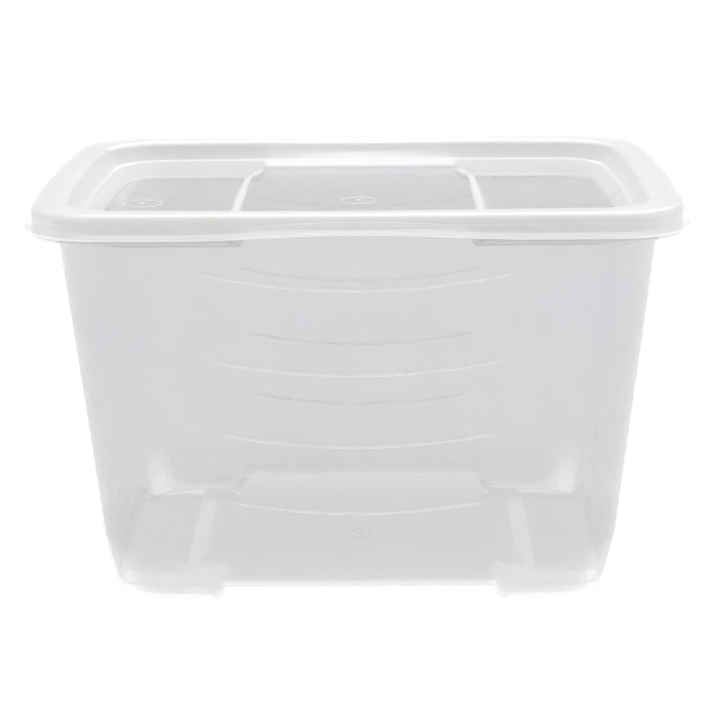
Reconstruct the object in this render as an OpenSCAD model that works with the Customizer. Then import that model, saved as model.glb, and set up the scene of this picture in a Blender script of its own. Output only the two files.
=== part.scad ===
// Stackable storage bin: a clear moulded tub on four hollow corner feet, with a loose lift-off lid.
// Units are millimetres. The origin is on the floor under the middle of the bin, +X runs along its
// long side and +Z is up. The bin is the same from the front and the back, and from both ends.
// Each piece is one closed shell: rings of points run over its outside and back down its inside,
// and a grid of points closes each end.

/* [Overall size] */
// Length over the lid's lip
length = 480; // [470:5:500]
// Depth over the lid's lip
depth = 370; // [350:5:390]
// Height with the lid on
height = 300; // [240:5:340]
// Wall thickness of both pieces
wall = 2; // [1.6:0.1:2.4]

/* [Tub] */
// How far each wall leans in from the rim to the bottom
wall_lean = 34.5; // [30:0.5:36]
// Height where the walls start to lean in more
knee_height = 47; // [35:1:60]
// Height of the feet below the floor of the tub
foot_height = 11; // [8:0.5:14]
// Length of each foot
foot_length = 87; // [80:0.5:87]
// Depth of each foot, front to back
foot_depth = 48.5; // [48:0.5:60]
// How far the floor steps down between the feet of each end
end_drop = 4; // [2:0.5:6]
// Height of the rim's skirt at the corners
rim_skirt = 18.8; // [16:0.2:20]
// Half the length of the hand-hold, where the rim's skirt is cut away
hand_hold = 74; // [60:1:74]
// Radius of the curved ribs on the long walls
rib_radius = 490; // [420:10:700]
// How far the curved ribs stand out
rib_relief = 1.1; // [0.6:0.1:1.6]

/* [Lid] */
// Width of the flat border around the lid
border = 24; // [20:1:28]
// Depth of the two end panels below the border
end_panel_depth = 28.5; // [22:0.5:32]
// Depth of the middle panel below the border
middle_panel_depth = 20.5; // [16:0.5:21]
// Half the length of the middle panel
middle_panel = 82; // [76:1:84]
// Depth of the lens-shaped grip in the lid's skirt
grip_depth = 0.9; // [0.4:0.1:1]

/* [Hidden] */

plastic = [0.86, 0.88, 0.9, 0.45];
lip = 4; // the lid's lip beyond its skirt
skirt_a = length / 2 - lip; // half length over the lid's skirt
side_gap = length / 2 - depth / 2; // every outline is this much shorter in depth than in length
rim_a = skirt_a - wall - 0.6; // half length over the rim, inside the lid
rim_top = height - wall - 0.5;
rim_low = height - 2.4 - rim_skirt;
wall_top_a = skirt_a - 15; // half length of the tub's wall, just under the rim
base_a = wall_top_a - wall_lean;
knee_a = base_a + 9;
base_b = base_a - side_gap + 3.5;
foot_start_x = base_a - foot_length; // where the feet start, from the middle
foot_start_y = base_b - foot_depth;
corner_r = 48; // corner radius of the lid's skirt
bow_x = 6.4; // how far the short sides of the lid bow out
bow_y = 3; // how far its long sides bow out
corner_steps = 8; // pieces in each corner's quarter circle
half_steps = corner_steps / 2;

// One position on each side of the middle for every one listed, in order.
function both(list) = concat([for (k = [len(list) - 1:-1:0]) -list[k]], [0], list);
function backwards(list) = [for (k = [len(list) - 1:-1:0]) list[k]];
function clamp(t) = max(0, min(1, t));
function ease(t) = let (c = clamp(t)) c * c * (3 - 2 * c);
function mix(a, b, t) = a + (b - a) * t;

// ---- Outlines: rounded rectangles whose sides bow outwards ----

function corner(x, y, r, from, first, last) =
    [for (k = [first:last])
        let (angle = from + 45 * k / half_steps) [x + r * cos(angle), y + r * sin(angle)]];

// Goes round anticlockwise from the middle of the front left corner. The columns and rows are
// the positions of the points along the long and the short sides.
function outline(a, b, r, bow_x, bow_y, cols, rows) =
    let (
        u = a - bow_x, v = b - bow_y, h = half_steps,
        square = concat(
            corner(r - u, r - v, r, 225, 0, h), [for (x = cols) [x, -v]],
            corner(u - r, r - v, r, 270, 0, 2 * h), [for (y = rows) [u, y]],
            corner(u - r, v - r, r, 0, 0, 2 * h), [for (x = backwards(cols)) [x, v]],
            corner(r - u, v - r, r, 90, 0, 2 * h), [for (y = backwards(rows)) [-u, y]],
            corner(r - u, r - v, r, 180, 0, h - 1)))
    [for (p = square) [
        p.x * (1 + bow_x / u * (1 - p.y * p.y / (v * v))),
        p.y * (1 + bow_y / v * (1 - p.x * p.x / (u * u)))]];

// ---- A closed shell from rings of points, with a grid of points over each end ----

// Where grid point (p, q) sits in the ring, for points on the edge of the grid.
function edge_index(p, q, nx, ny) =
    q == 0 ? p : p == nx ? nx + q : q == ny ? 2 * nx + ny - p : (2 * nx + 2 * ny - q) % (2 * nx + 2 * ny);

// Fills a ring with a grid: the edges' shapes are blended across the middle. The height of each
// point comes from level(x, y), where x and y are its positions on the front and left edges.
function fill(ring, nx, ny, level) =
    let (at = function(p, q) ring[edge_index(p, q, nx, ny)],
         c00 = at(0, 0), c10 = at(nx, 0), c01 = at(0, ny), c11 = at(nx, ny))
    [for (q = [1:ny - 1]) for (p = [1:nx - 1])
        let (front = at(p, 0), back = at(p, ny), left = at(0, q), right = at(nx, q),
             s = (front.x - c00.x) / (c10.x - c00.x), t = (left.y - c00.y) / (c01.y - c00.y),
             flat = mix(front, back, t) + mix(left, right, s) - mix(mix(c00, c10, s), mix(c01, c11, s), t))
        [flat.x, flat.y, level(front.x, left.y)]];

module shell(rings, nx, ny, level_first, level_last) {
    n = 2 * (nx + ny);
    m = len(rings);
    inner = (nx - 1) * (ny - 1);
    id = function(p, q, end) (p == 0 || p == nx || q == 0 || q == ny)
        ? (end == 0 ? 0 : (m - 1) * n) + edge_index(p, q, nx, ny)
        : m * n + end * inner + (q - 1) * (nx - 1) + p - 1;
    points = concat([for (ring = rings) for (p = ring) p],
        fill(rings[0], nx, ny, level_first), fill(rings[m - 1], nx, ny, level_last));
    sides = [for (j = [0:m - 2]) for (i = [0:n - 1])
        let (k = (i + 1) % n, a = j * n + i, b = j * n + k, c = a + n, d = b + n)
        each [[a, c, b], [b, c, d]]];
    first = [for (q = [0:ny - 1]) for (p = [0:nx - 1])
        let (a = id(p, q, 0), b = id(p + 1, q, 0), c = id(p + 1, q + 1, 0), d = id(p, q + 1, 0))
        each [[a, b, c], [a, c, d]]];
    last = [for (q = [0:ny - 1]) for (p = [0:nx - 1])
        let (a = id(p, q, 1), b = id(p + 1, q, 1), c = id(p + 1, q + 1, 1), d = id(p, q + 1, 1))
        each [[a, c, b], [a, d, c]]];
    polyhedron(points, concat(sides, first, last), convexity = 10);
}

// ---- Tub ----

foot_round = 8; // how far the rounded end of a foot reaches
foot_edge = [0, 1.2, 3.6, foot_round]; // where the rounded end has its points
drop_from = 20; // the step down between the feet starts this far beyond a foot's start
drop_to = 26;
// The pockets inside the feet start one wall thickness further out than the feet: extra.
function cols_for(extra) = both(concat(
    [24, 46, hand_hold - 15, hand_hold, hand_hold + 5, hand_hold + 10, hand_hold + 16],
    [for (e = concat(foot_edge, [drop_from, drop_to])) foot_start_x + e + extra]));
function rows_for(extra) = both(concat([30, 66], [for (e = foot_edge) foot_start_y + e + extra]));
tub_cols = cols_for(0);
tub_rows = rows_for(0);
pocket_cols = cols_for(wall);
pocket_rows = rows_for(wall);
tub_nx = len(tub_cols) + corner_steps + 1;
tub_ny = len(tub_rows) + corner_steps + 1;
long_end = foot_start_x + drop_to + 1 + wall; // beyond this a point belongs to a corner

function tub_outline(a, b, cols = tub_cols, rows = tub_rows) =
    outline(a, b, mix(34, 45, clamp((a - base_a) / wall_lean)), 5, 1.5, cols, rows);

// Half length of the outside of the wall at a height.
function wall_a(z) = z < knee_height
    ? mix(base_a, knee_a, z / knee_height)
    : mix(knee_a, wall_top_a, (z - knee_height) / (rim_top - knee_height));

// How much shorter the tub is in depth than in length: its long walls lean in a little less.
function wall_gap(z) = side_gap - mix(3.5, 1, z / rim_top);

// 0 in a foot, 1 on the raised floor, with a rounded end in between.
function foot_step(d) =
    d <= 0 ? 1 : d >= foot_round ? 0 : 1 - sqrt(1 - pow(1 - d / foot_round, 2));
// Height of the underside. The floor between the two feet of each end steps down a little.
function raised(x, y, extra) =
    let (dx = abs(x) - foot_start_x - extra, dy = abs(y) - foot_start_y - extra,
         between = foot_height - end_drop * ease((dx - drop_from) / (drop_to - drop_from)))
    max(foot_height * foot_step(dx), between * foot_step(dy));

// Moves a position outwards by grow at the limit, by less nearer the middle, and not at all up to fixed.
function push(v, fixed, limit, grow) =
    v + (abs(v) > fixed ? sign(v) * grow * (abs(v) - fixed) / (limit - fixed) : 0);
// A ring near the bottom: rise is the height above the underside, which follows the feet.
function low_ring(rise, inset, inner) =
    let (t = inner ? wall : 0, a = base_a - t, b = base_b - t)
    [for (p = tub_outline(a, b, inner ? pocket_cols : tub_cols, inner ? pocket_rows : tub_rows))
        let (z = raised(p.x, p.y, t) + t + rise, grow = wall_a(z) - base_a - inset)
        [push(p.x, long_end, a, grow), push(p.y, foot_start_y + foot_round + 1 + t, b, grow), z]];

// A level ring on the outside (t = 0) or the inside (t = wall) of the wall.
function wall_ring(z, t) =
    [for (p = tub_outline(wall_a(z) - t, wall_a(z) - t - wall_gap(z))) [p.x, p.y, z]];

// The curved ribs: heights of their lowest points and half lengths, from the top one down.
rib_count = 4;
rib_length = 113; // half the length of the top rib
function rib_z(k) = mix(rim_top - 55, knee_height + 26, pow(k / (rib_count - 1), 0.9));
function rib_half(k) = rib_length - 6.8 * k;
function rib_lift(x) = pow(min(abs(x), rib_length), 2) / (2 * rib_radius);
// A ring that follows a rib across the long walls, off its middle line by dz.
function rib_ring(k, dz, relief) =
    let (top = rib_z(k) + rib_lift(rib_length) + dz, a = wall_a(top), b = a - wall_gap(top))
    [for (p = tub_outline(a, b))
        let (long = abs(p.x) < long_end, z = long ? rib_z(k) + rib_lift(p.x) + dz : top,
             bump = relief * clamp((rib_half(k) - abs(p.x)) / 6),
             out = wall_a(z) - wall_gap(z) - b + bump)
        [p.x, p.y + sign(p.y) * (long ? out : 0), z]];

// The rim's skirt is cut away over the middle of each long side, so the lid's edge can be gripped.
function on_long_wall(p) = abs(p.x) < long_end && abs(p.y) > depth / 4;
function cut(p) = on_long_wall(p) ? 1 - ease((abs(p.x) - hand_hold) / 10) : 0;
function ledge(p) = on_long_wall(p) ? ease((abs(p.x) - hand_hold - 10) / 6) : 1;
function skirt_low(p) = mix(rim_low, rim_top - 7, cut(p));
// The rim follows the lid's outline, which bows out a little more than the walls.
function rim_outline(a) = outline(a, a - side_gap, corner_r - skirt_a + a, bow_x, bow_y, tub_cols, tub_rows);
function rim_ring(a, z) = [for (p = rim_outline(a)) [p.x, p.y, z]];
function skirt_ring(a, rise, out) =
    [for (p = rim_outline(a))
        let (k = 1 + out * ledge(p) / rim_a) [p.x * k, p.y * k, skirt_low(p) + rise]];

module tub() {
    rings = concat(
        [low_ring(0, 5, false), low_ring(0.8, 2, false), low_ring(3, 0.4, false), low_ring(9, 0, false)],
        [wall_ring(knee_height, 0), wall_ring(knee_height + 5, 0)],
        [for (k = [rib_count - 1:-1:0]) for (side = [-1:1])
            rib_ring(k, 1.4 * side, side == 0 ? rib_relief : 0)],
        [wall_ring(rim_top - wall - 2, 0), rim_ring(wall_top_a + 2, rim_top - wall)],
        [rim_ring(rim_a - wall - 1, rim_top - wall), rim_ring(rim_a - wall, rim_top - wall - 1)],
        [skirt_ring(rim_a - wall, 0, 0), skirt_ring(rim_a - 0.2, 0, 1.2), skirt_ring(rim_a, 0.6, 1.6)],
        [skirt_ring(rim_a, 1.6, 1.6), skirt_ring(rim_a, 2.2, 0)],
        [rim_ring(rim_a, rim_top - 3.6), rim_ring(rim_a - 1, rim_top - 1.4), rim_ring(rim_a - 3.2, rim_top)],
        [rim_ring(wall_top_a + 0.5, rim_top), rim_ring(wall_top_a - 1.3, rim_top - 1)],
        [wall_ring(rim_top - 5, wall), wall_ring(knee_height + 5, wall), wall_ring(knee_height, wall)],
        [low_ring(9, 0, true), low_ring(3, 0.8, true), low_ring(0.8, 3, true), low_ring(0, 6, true)]);
    color(plastic)
        shell(rings, tub_nx, tub_ny,
            function(x, y) raised(x, y, 0), function(x, y) raised(x, y, wall) + wall);
}

// ---- Lid ----

step_cols = [0, 2.5, 7, 9.5]; // where the slope beside the middle panel has its points
lid_end = 145; // the last point of the lid's long sides before a corner
grip_half = 64; // half the length of the lens-shaped grip
lid_cols = both(concat([20, 40, 55, grip_half], [for (e = step_cols) middle_panel + e], [115, lid_end]));
lid_rows = both([4, 9, 50, 95]);
lid_nx = len(lid_cols) + corner_steps + 1;
lid_ny = len(lid_rows) + corner_steps + 1;

function lid_outline(a, r) = outline(a, a - side_gap, r, bow_x, bow_y, lid_cols, lid_rows);
function on_long(p) = abs(p.x) < lid_end + 1 && abs(p.y) > depth / 4 - 20;

// 1 on the middle panel, 0 on the end panels, with a slope that is soft at both ends.
slope = step_cols[3];
function middle(x) = ease((middle_panel + slope - abs(x)) / slope);
function panel_z(x) = height - mix(end_panel_depth, middle_panel_depth, middle(x));
// The border rolls over into the recess more gently half way along each long side.
roll_end = 3;
roll_middle = 11;
function roll(p) = on_long(p) ? mix(roll_middle, roll_end, ease(abs(p.x) / (lid_end + 5))) : roll_end;
// The lid's lower edge rises a little half way along each long side.
arch_rise = 3.6;
arch_half = 125;
function arch(p) = on_long(p) ? arch_rise * (1 - ease((abs(p.x) - 10) / (arch_half - 10))) : 0;
function grip(p) = on_long(p) ? max(0, 1 - pow(p.x / grip_half, 2)) : 0;
// A small upright crease half way along each short wall of the recess.
function crease(p) = abs(p.y) < 10 ? 3 * max(0, 1 - abs(p.y) / 8) : 0;

function skirt(off, z, rise) =
    [for (p = lid_outline(skirt_a + off, corner_r + off)) [p.x, p.y, height + z + rise * arch(p)]];
// Rings through the lens-shaped grip: where is -1 at its lower edge and 1 at its upper edge.
function grip_ring(where, edge) =
    [for (p = lid_outline(skirt_a, corner_r))
        let (g = grip(p), deep = grip_depth * g * (1 - where * where))
        [p.x, p.y - sign(p.y) * deep, height - 8 + where * (2.4 * g + edge)]];
// Rings down the recess: roll_part is the share of the roll-over's radius that is still to drop.
function border_ring(off, drop, roll_part, r) =
    [for (p = lid_outline(skirt_a - border + off, r)) [p.x, p.y, height - drop - roll_part * roll(p)]];
// The flat of the border gives up half of what the roll-over gains.
function border_edge(under) =
    [for (p = lid_outline(skirt_a - border + 4, 41))
        let (wider = 1 + (roll(p) - roll_end) / 2 / (skirt_a - border)) [p.x, p.y * wider, height - under]];
function panel_ring(inset, rise, r, creased = 0) =
    [for (p = lid_outline(skirt_a - border - inset, r))
        let (floor_z = on_long(p) ? panel_z(p.x) : height - end_panel_depth)
        [p.x - creased * sign(p.x) * crease(p), p.y, floor_z + rise]];

module lid() {
    t = wall;
    rings = concat(
        [panel_ring(17, -t, 25), panel_ring(13.5, 1.4, 27, 1), border_ring(-7.4, 16.4, 0, 32)],
        [border_ring(-5.4, 15.4, 0, 34), border_ring(0.4, 3.2, 0.6, 38), border_ring(1.6, 2.2, 0.25, 40)],
        [border_edge(t)],
        [skirt(-4.4, -t, 0), skirt(-2.4, -3.4, 0), skirt(-t, -5.5, 0), skirt(-t + 0.2, -18.2, 1)],
        [skirt(0.2, -18.2, 1), skirt(0.6, -17.1, 1), skirt(lip - 0.6, -16.6, 1), skirt(lip, -15.8, 1)],
        [skirt(lip - 0.6, -15, 1), skirt(0.3, -13, 0.8)],
        [grip_ring(-1, 0.8), grip_ring(-0.5, 0.4), grip_ring(0, 0), grip_ring(0.5, 0.4), grip_ring(1, 0.8)],
        [skirt(-0.5, -2.6, 0), skirt(-1.9, -0.8, 0), skirt(-4.6, 0, 0)],
        [border_edge(0), border_ring(0.6, 0, 0.25, 40), border_ring(-1.6, 1, 0.7, 38)],
        [border_ring(-7.5, 14.5, 0, 34), border_ring(-9.5, 15.2, 0, 32)],
        [panel_ring(15.5, 2.5, 27, 1), panel_ring(18, 0, 25)]);
    color(plastic)
        shell(rings, lid_nx, lid_ny, function(x, y) panel_z(x) - t, function(x, y) panel_z(x));
}

tub();
lid();
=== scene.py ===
# %% [markdown]
# # A stackable storage bin of milky plastic
# The real object is two injection mouldings of natural polypropylene: a tub on four hollow feet and
# a loose lid with a deep stacking recess. The engineering model is loaded first as a frame. It has
# the right sizes, but its corners are coarse. This lesson builds finer skins in the same places, by
# the same rules, and gives them a plastic that light goes through. Everything is in metres.

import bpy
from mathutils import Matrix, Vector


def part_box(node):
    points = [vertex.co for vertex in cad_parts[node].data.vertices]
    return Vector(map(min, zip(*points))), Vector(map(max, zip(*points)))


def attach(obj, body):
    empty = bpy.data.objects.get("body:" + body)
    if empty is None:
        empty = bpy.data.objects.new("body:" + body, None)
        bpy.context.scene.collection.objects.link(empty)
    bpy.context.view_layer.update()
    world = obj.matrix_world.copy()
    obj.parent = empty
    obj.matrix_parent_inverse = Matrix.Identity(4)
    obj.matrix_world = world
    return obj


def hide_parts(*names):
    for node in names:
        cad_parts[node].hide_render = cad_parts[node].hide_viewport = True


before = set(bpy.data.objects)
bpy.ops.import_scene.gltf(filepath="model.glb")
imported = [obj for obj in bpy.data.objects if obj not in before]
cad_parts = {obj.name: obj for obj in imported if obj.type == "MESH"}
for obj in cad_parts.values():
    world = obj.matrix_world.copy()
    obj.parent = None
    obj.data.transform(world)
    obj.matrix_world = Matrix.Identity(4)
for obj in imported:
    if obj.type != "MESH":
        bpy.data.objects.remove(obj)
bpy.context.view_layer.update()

# %% [markdown]
# ## The main sizes
# A mould maker works in millimetres, so the shape's rules are written in millimetres here too and
# turned into metres only when a mesh is made. The overall sizes are read from the frame's boxes, so
# the skins can't drift away from the engineering model. The rest are the part's own proportions.

# %% Sizes from the frame
import math

import bpy
import numpy as np
from mathutils import Quaternion, Vector

MM = 0.001
lid_low, lid_high = (np.array(corner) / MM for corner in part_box("lid"))
LENGTH, DEPTH, HEIGHT = (float(v) for v in (*(lid_high - lid_low)[:2], lid_high[2]))
WALL = 2.0
LIP, LID_PLAY, LID_SEAT = 4.0, 0.6, 0.5  # the lid's lip, and its gaps to the rim: aside and above
# A name that ends in _A is half a length along X, and one that ends in _B half a depth along Y.
SKIRT_A = LENGTH / 2 - LIP
SIDE_GAP = (LENGTH - DEPTH) / 2
RIM_A = SKIRT_A - WALL - LID_PLAY
RIM_TOP = HEIGHT - WALL - LID_SEAT
WALL_TOP_A = SKIRT_A - 15
print(f"bin {LENGTH:.0f} x {DEPTH:.0f} x {HEIGHT:.0f} mm, rim top at {RIM_TOP} mm")

# %% [markdown]
# ## Rounded rectangles
# Every level of the bin is a rounded rectangle whose sides bow out a little, which stiffens a thin
# wall. It could be drawn as a curve and lofted by hand. A function is used instead, because each
# piece is then a stack of rings with the same number of points, and neighbouring rings join up.

# %% The outline function
CORNER_STEPS = 20  # pieces in each corner's quarter circle, an even number


def ease(t):
    t = np.clip(t, 0, 1)
    return t * t * (3 - 2 * t)


def mix(a, b, t):
    return a + (b - a) * t


def both(values):
    """The listed positions on both sides of the middle, and the middle itself, in order."""
    values = np.asarray(values, float)
    return np.concatenate([-values[::-1], [0.0], values])


def arc(x, y, r, start, first, last):
    angle = np.radians(start + 90 * np.arange(first, last + 1) / CORNER_STEPS)
    return np.stack([x + r * np.cos(angle), y + r * np.sin(angle)], 1)


def side(x, y):
    """Points along a straight side. One of x and y is a list and the other a number."""
    return np.stack(np.broadcast_arrays(x, y), 1).astype(float)


def outline(a, b, r, bow_x, bow_y, cols, rows):
    """Points of a rounded rectangle, anticlockwise from the middle of the front left corner.
    cols and rows are the places of the points on the long and short sides."""
    u, v, h = a - bow_x, b - bow_y, CORNER_STEPS // 2
    p = np.concatenate([
        arc(r - u, r - v, r, 225, 0, h),
        side(cols, -v),
        arc(u - r, r - v, r, 270, 0, 2 * h),
        side(u, rows),
        arc(u - r, v - r, r, 0, 0, 2 * h),
        side(cols[::-1], v),
        arc(r - u, v - r, r, 90, 0, 2 * h),
        side(-u, rows[::-1]),
        arc(r - u, r - v, r, 180, 0, h - 1),
    ])
    x, y = p.T
    bowed_x = x * (1 + bow_x / u * (1 - (y / v) ** 2))
    bowed_y = y * (1 + bow_y / v * (1 - (x / u) ** 2))
    return np.column_stack([bowed_x, bowed_y])


trial = outline(50, 40, 10, 1, 1, both([20]), both([10]))
print(f"a trial outline has {len(trial)} points and is {np.ptp(trial[:, 0]):.1f} mm long")

# %% [markdown]
# ## Soft corners
# A moulding has no sharp edge anywhere, because molten plastic doesn't fill one. So before the
# rings are joined, each one is split in two close to the old place, twice over. That cuts every
# corner of the section into a small round. A bevel tool would need its edges picked first.

# %% Soften the section
MOST_CUT = 0.28  # of the way to the next ring


def soften(rings, reach):
    """Cuts the corners of the section that the rings make, by at most reach on each side."""
    for cut in (reach, reach / 2):
        out = [rings[0]]
        for before, here, after in zip(rings, rings[1:], rings[2:]):
            for other in (before, after):
                gap = other - here
                far = np.maximum(np.linalg.norm(gap, axis=1, keepdims=True), 1e-6)
                out.append(here + gap * np.minimum(cut / far, MOST_CUT))
        rings = [*out, rings[-1]]
    return rings


corner = [np.array([place]) for place in ((0.0, 0, 0), (10.0, 0, 0), (10.0, 0, 10))]
print("3 rings with a corner in the middle one become", len(soften(corner, 1)), "rings")

# %% [markdown]
# ## The mesh
# The rings are joined by a band of four-sided faces from each one to the next. The two end rings,
# which are the underside and the inside of the floor, are closed with a grid of faces that blends
# the ring's four sides. A flat face with hundreds of corners would do for a flat floor, but these
# floors step up and down.

# %% Build a closed mesh from rings


def grid_of(edge, nx, ny, level):
    """The points inside a ring that has nx faces along X and ny along Y. level is their height."""
    n = 2 * (nx + ny)
    front, right = edge[: nx + 1], edge[nx : nx + ny + 1]
    back = edge[nx + ny : 2 * nx + ny + 1][::-1]
    left = edge[np.arange(n, 2 * nx + ny - 1, -1) % n]
    s = ((front[:, 0] - front[0, 0]) / (front[-1, 0] - front[0, 0]))[None, :, None]
    t = ((left[:, 1] - left[0, 1]) / (left[-1, 1] - left[0, 1]))[:, None, None]
    flat = mix(front[None], back[None], t) + mix(left[:, None], right[:, None], s)
    flat = flat - mix(mix(front[0], front[-1], s), mix(back[0], back[-1], s), t)
    flat[:, :, 2] = level(front[None, :, 0], left[:, None, 1])
    return flat[1:-1, 1:-1].reshape(-1, 3)


def closed_skin(name, rings, nx, ny, under, floor):
    """A mesh object in metres from rings of points, with a grid over each end."""
    n, m = 2 * (nx + ny), len(rings)
    ends = grid_of(rings[0], nx, ny, under), grid_of(rings[-1], nx, ny, floor)
    points = np.concatenate([*rings, *ends])
    i, j = np.meshgrid(np.arange(n), np.arange(m - 1))
    a, b = j * n + i, j * n + (i + 1) % n
    faces = [np.stack([a, a + n, b + n, b], -1).reshape(-1, 4)]
    for end in (0, 1):
        q, p = np.meshgrid(np.arange(ny + 1), np.arange(nx + 1), indexing="ij")
        edge = np.select([q == 0, p == nx, q == ny], [p, nx + q, 2 * nx + ny - p], (n - q) % n)
        inside = (p > 0) & (p < nx) & (q > 0) & (q < ny)
        body = m * n + end * (nx - 1) * (ny - 1) + (q - 1) * (nx - 1) + p - 1
        at = np.where(inside, body, edge + end * (m - 1) * n)
        cell = [at[:-1, :-1], at[:-1, 1:], at[1:, 1:], at[1:, :-1]]
        faces.append(np.stack(cell if end == 0 else cell[::-1], -1).reshape(-1, 4))
    mesh = bpy.data.meshes.new(name)
    mesh.from_pydata((points * MM).tolist(), [], np.concatenate(faces)[:, ::-1].tolist())
    mesh.update()
    obj = bpy.data.objects.new(name, mesh)
    bpy.context.scene.collection.objects.link(obj)
    print(f"{name}: {len(rings)} rings of {n} points")
    return obj


print("a skin's band of faces is closed at both ends by a grid")

# %% [markdown]
# ## Where the skin turns, where it is thick and where light is painted in
# On milky plastic an edge shows as a thin pale line. Part of it is real scatter, where the light
# has more plastic to cross, and part is a painted highlight for the gloss that an edge catches. The
# material needs to know where the edges are. That could be painted by hand.
# Measuring it is surer: where neighbouring normals differ a lot over a short distance, the skin
# turns sharply. Where the plastic is thick or takes painted light, and where it can't be seen, is
# told by a rule for each piece. All three are stored on the points, as attributes that the
# material reads.

# %% Measure the turn and write the attributes
LEAST_EDGE = 0.05  # mm, so that a tiny edge doesn't count as a sharp turn


def write_attribute(obj, name, values):
    data = obj.data.attributes.new(name, "FLOAT", "POINT").data
    data.foreach_set("value", np.clip(values, 0, 1))


def points_of(obj):
    """A mesh object's points in metres, one in each row."""
    place = np.empty(len(obj.data.vertices) * 3)
    obj.data.vertices.foreach_get("co", place)
    return place.reshape(-1, 3)


def none(x, y, z):
    """The rule for a piece that is nowhere thick or clear."""
    return 0 * z


def finish_skin(obj, thickness=none, clearness=none):
    """Smooth shading, and three attributes: turn, 1 where the skin turns on a radius of 1 mm, one
    that is 1 where light crosses the most plastic and where painted light whitens it, and clear, 1
    where the skin can't be seen."""
    mesh = obj.data
    mesh.polygons.foreach_set("use_smooth", np.ones(len(mesh.polygons), bool))
    place = points_of(obj)
    normal, edges = np.empty(place.size), np.empty(len(mesh.edges) * 2, int)
    mesh.vertices.foreach_get("normal", normal)
    mesh.edges.foreach_get("vertices", edges)
    normal, (a, b) = normal.reshape(-1, 3), edges.reshape(-1, 2).T
    far = np.maximum(np.linalg.norm(place[a] - place[b], axis=1) / MM, LEAST_EDGE)
    bend = np.linalg.norm(normal[a] - normal[b], axis=1) / far
    turn = np.zeros(len(place))
    np.maximum.at(turn, a, bend)
    np.maximum.at(turn, b, bend)
    write_attribute(obj, "turn", turn)
    write_attribute(obj, "thick_and_painted_light", thickness(*(place / MM).T))
    write_attribute(obj, "clear", clearness(*(place / MM).T))
    print(f"{obj.name}: {len(mesh.polygons)} faces, mean turn {turn.mean():.3f} per mm")


print("each skin gets the attributes turn, thick and clear")

# %% [markdown]
# ## The tub
# The tub is one moulding. Its walls lean in so that empty tubs nest, with a knee near the bottom.
# Four hollow feet carry it, and between them the floor is raised, so it can stand on another lid.
# The rules below say how wide the wall is at a height and how high the underside is at a place.

# %% Rules for the tub's walls and feet
WALL_LEAN, KNEE, KNEE_OUT = 34.5, 47.0, 9.0  # the whole lean, the knee's height, the lean below it
GAP_LOW, GAP_HIGH = 3.5, 1.0  # SIDE_GAP is smaller by this much at the base and at the rim
FOOT_HEIGHT, END_DROP = 11.0, 4.0  # the raised floor's height, and how much less it is at the ends
BASE_A = WALL_TOP_A - WALL_LEAN
KNEE_A = BASE_A + KNEE_OUT
BASE_B = BASE_A - SIDE_GAP + GAP_LOW
FOOT_X, FOOT_Y = BASE_A - 87, BASE_B - 48.5  # where the feet start, from the middle
FOOT_ROUND, DROP_FROM, DROP_TO = 8.0, 20.0, 26.0  # beyond FOOT_X: the rounding and the end drop
HAND_HOLD, RIM_LOW = 74.0, HEIGHT - 2.4 - 18.8  # half the hand-hold, and the rim skirt's lower edge
LONG_END = FOOT_X + DROP_TO + 1 + WALL  # the corners start beyond this
BASE_ROUND, RIM_ROUND = 34.0, 45.0  # the corner radius at the base and at the rim
TUB_BOW_X, TUB_BOW_Y = 5.0, 1.5
RIM_BOW_X, RIM_BOW_Y, SKIRT_ROUND = 6.4, 3.0, 48.0  # shared with the lid, which fits over the rim


def tub_outline(a, b, cols, rows):
    radius = mix(BASE_ROUND, RIM_ROUND, np.clip((a - BASE_A) / WALL_LEAN, 0, 1))
    return outline(a, b, radius, TUB_BOW_X, TUB_BOW_Y, cols, rows)


def wall_a(z):
    """Half the length of the outside of the wall at a height."""
    return np.interp(z, [0, KNEE, RIM_TOP], [BASE_A, KNEE_A, WALL_TOP_A])


def wall_gap(z):
    """How much less half the depth is than half the length."""
    return SIDE_GAP - mix(GAP_LOW, GAP_HIGH, z / RIM_TOP)


def foot_step(d):
    """1 on the raised floor, 0 in a foot, with a rounded end in between."""
    return 1 - np.sqrt(1 - (1 - np.clip(d / FOOT_ROUND, 0, 1)) ** 2)


def underside(x, y, extra):
    """Height of the underside. extra moves the feet's ends outwards, for the inside of the feet."""
    dx, dy = np.abs(x) - FOOT_X - extra, np.abs(y) - FOOT_Y - extra
    between = FOOT_HEIGHT - END_DROP * ease((dx - DROP_FROM) / (DROP_TO - DROP_FROM))
    return np.maximum(FOOT_HEIGHT * foot_step(dx), between * foot_step(dy))


print(f"the base is {2 * BASE_A:.0f} mm long, and the feet start {FOOT_X:.0f} mm from its middle")

# %% [markdown]
# ## Where the tub's points go
# A straight wall needs few points and a rounded foot many. So the places of the points on a side
# are chosen by what happens there: the ends of the feet, the ends of the hand-hold, and a few in
# the plain middle. An even spacing would need many times as many for the same round feet.

# %% Columns and rows of the tub
round_steps = FOOT_ROUND * (1 - np.cos(np.radians(np.arange(0, 91, 9))))
middle_cols = [8, 16, 24, 35, 46, 59, 67]
cut_cols = [HAND_HOLD + d for d in (0, 1.2, 2.5, 3.8, 5, 6.2, 7.5, 8.8, 10, 11.5, 13, 14.5, 16)]


def foot_cols(extra):
    ends = np.concatenate([round_steps, [13, 17], np.linspace(DROP_FROM, DROP_TO, 6)])
    return both(np.concatenate([middle_cols, cut_cols, FOOT_X + ends + extra]))


def foot_rows(extra):
    return both(np.concatenate([[12, 24, 36, 48, 60, 72, 80], FOOT_Y + round_steps + extra]))


OUT_COLS, OUT_ROWS, IN_COLS, IN_ROWS = foot_cols(0), foot_rows(0), foot_cols(WALL), foot_rows(WALL)
print(f"a long side has {len(OUT_COLS)} columns of points and a short side {len(OUT_ROWS)}")

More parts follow.
